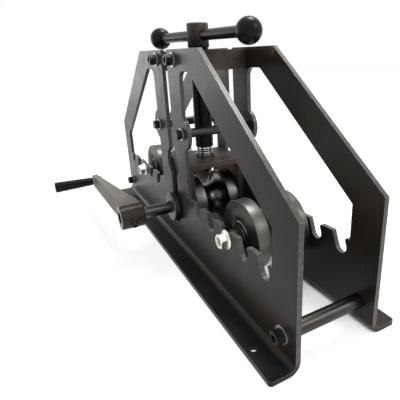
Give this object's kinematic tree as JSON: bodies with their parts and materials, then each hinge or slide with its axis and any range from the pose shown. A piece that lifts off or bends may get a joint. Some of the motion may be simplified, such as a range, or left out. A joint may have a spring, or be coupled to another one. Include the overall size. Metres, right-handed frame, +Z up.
{
  "type": "manual tube bender",
  "caption": "Hand-cranked three-roller tube bender: notched bent side plates, idle dies on bearings, and a screw-pressed yoke with the driven die",
  "frame": {"origin": "on the bench, at the centre of the four foot holes", "axes": "X along the machine and the tube, -Y towards the crank, Z up along the press screw"},
  "size_m": [0.66, 0.3208, 0.3613],
  "materials": {
    "black_plate": "satin black powder coat",
    "mill_scale": "dark mill scale",
    "black_hardware": "black oxide",
    "bright_steel": "bright turned steel",
    "dark_steel": "dark blackened steel",
    "die_steel": "dark turned steel, satin",
    "black_knob": "semi-gloss black",
    "crank_paint": "satin grey-black",
    "black_grip": "matt black",
    "zinc": "bright zinc plate"
  },
  "bodies": {
    "frame": {"front_side_plate": "black_plate", "rear_side_plate": "black_plate", "nut_block": "mill_scale", "block_bolts": "black_hardware", "block_washers": "bright_steel", "mid_tie_rods": "dark_steel", "mid_tie_bolts": "black_hardware", "mid_tie_washers": "bright_steel", "end_tie_rods": "dark_steel", "end_tie_bolts": "black_hardware", "end_tie_washers": "bright_steel"},
    "press_yoke": {"yoke_top_plate": "mill_scale", "yoke_front_cheek": "mill_scale", "yoke_rear_cheek": "mill_scale", "yoke_welds": "mill_scale", "front_guide_bush": "dark_steel", "rear_guide_bush": "dark_steel", "screw_seat": "dark_steel", "thrust_lower_race": "bright_steel", "thrust_balls": "bright_steel", "thrust_cage": "bright_steel"},
    "screw": {"press_screw": "dark_steel", "thrust_upper_race": "bright_steel", "stud_washer": "bright_steel", "stud_nut": "black_hardware"},
    "cross_bar": {"tommy_bar": "dark_steel", "left_bar_ball": "black_knob", "right_bar_ball": "black_knob"},
    "crank": {"drive_shaft": "dark_steel", "shaft_key": "bright_steel", "shaft_clip": "black_hardware", "centre_die": "die_steel", "die_thrust_washers": "bright_steel", "hub_ring": "bright_steel", "crank_arm": "crank_paint", "crank_set_screw": "black_hardware", "grip_spindle": "bright_steel", "spindle_nut": "black_hardware", "grip_collar": "bright_steel"},
    "grip": {"crank_grip": "black_grip"},
    "left_axle_set": {"left_axle": "dark_steel", "left_bearing_inner_rings": "bright_steel", "left_bearing_balls": "bright_steel", "left_axle_spacers": "dark_steel", "left_flange_nuts": "zinc"},
    "left_idle_die": {"left_die": "die_steel", "left_bearing_outer_rings": "bright_steel", "left_bearing_shields": "bright_steel"},
    "right_axle_set": {"right_axle": "dark_steel", "right_bearing_inner_rings": "bright_steel", "right_bearing_balls": "bright_steel", "right_axle_spacers": "dark_steel", "right_flange_nuts": "zinc"},
    "right_idle_die": {"right_die": "die_steel", "right_bearing_outer_rings": "bright_steel", "right_bearing_shields": "bright_steel"}
  },
  "joints": [
    {"name": "press_slide", "type": "slide", "parent": "frame", "child": "press_yoke", "axis": [0, 0, 1], "range_m": [0, 0.112]},
    {"name": "screw_turn", "type": "hinge", "parent": "press_yoke", "child": "screw", "pos_m": [0, 0, 0.25], "axis": [0, 0, 1], "range_deg": [0, 11520]},
    {"name": "bar_slide", "type": "slide", "parent": "screw", "child": "cross_bar", "axis": [0.9833, 0.1822, 0], "range_m": [-0.086, 0.084]},
    {"name": "crank_turn", "type": "hinge", "parent": "press_yoke", "child": "crank", "pos_m": [0, -0.12, 0.0735], "axis": [0, 1, 0], "continuous": true},
    {"name": "grip_spin", "type": "hinge", "parent": "crank", "child": "grip", "pos_m": [-0.24983, -0.19, 0.06434], "axis": [0, 1, 0], "continuous": true},
    {"name": "left_axle_lift", "type": "slide", "parent": "frame", "child": "left_axle_set", "axis": [0.3746, 0, 0.9272], "range_m": [0, 0.028]},
    {"name": "left_die_spin", "type": "hinge", "parent": "left_axle_set", "child": "left_idle_die", "pos_m": [-0.184, 0, 0.0908], "axis": [0, 1, 0], "continuous": true},
    {"name": "right_axle_lift", "type": "slide", "parent": "frame", "child": "right_axle_set", "axis": [-0.3746, 0, 0.9272], "range_m": [0, 0.028]},
    {"name": "right_die_spin", "type": "hinge", "parent": "right_axle_set", "child": "right_idle_die", "pos_m": [0.184, 0, 0.0908], "axis": [0, 1, 0], "continuous": true}
  ],
  "couplings": [
    {"joint": "press_slide", "follows": "screw_turn", "m_per_rad": 0.00055704}
  ]
}
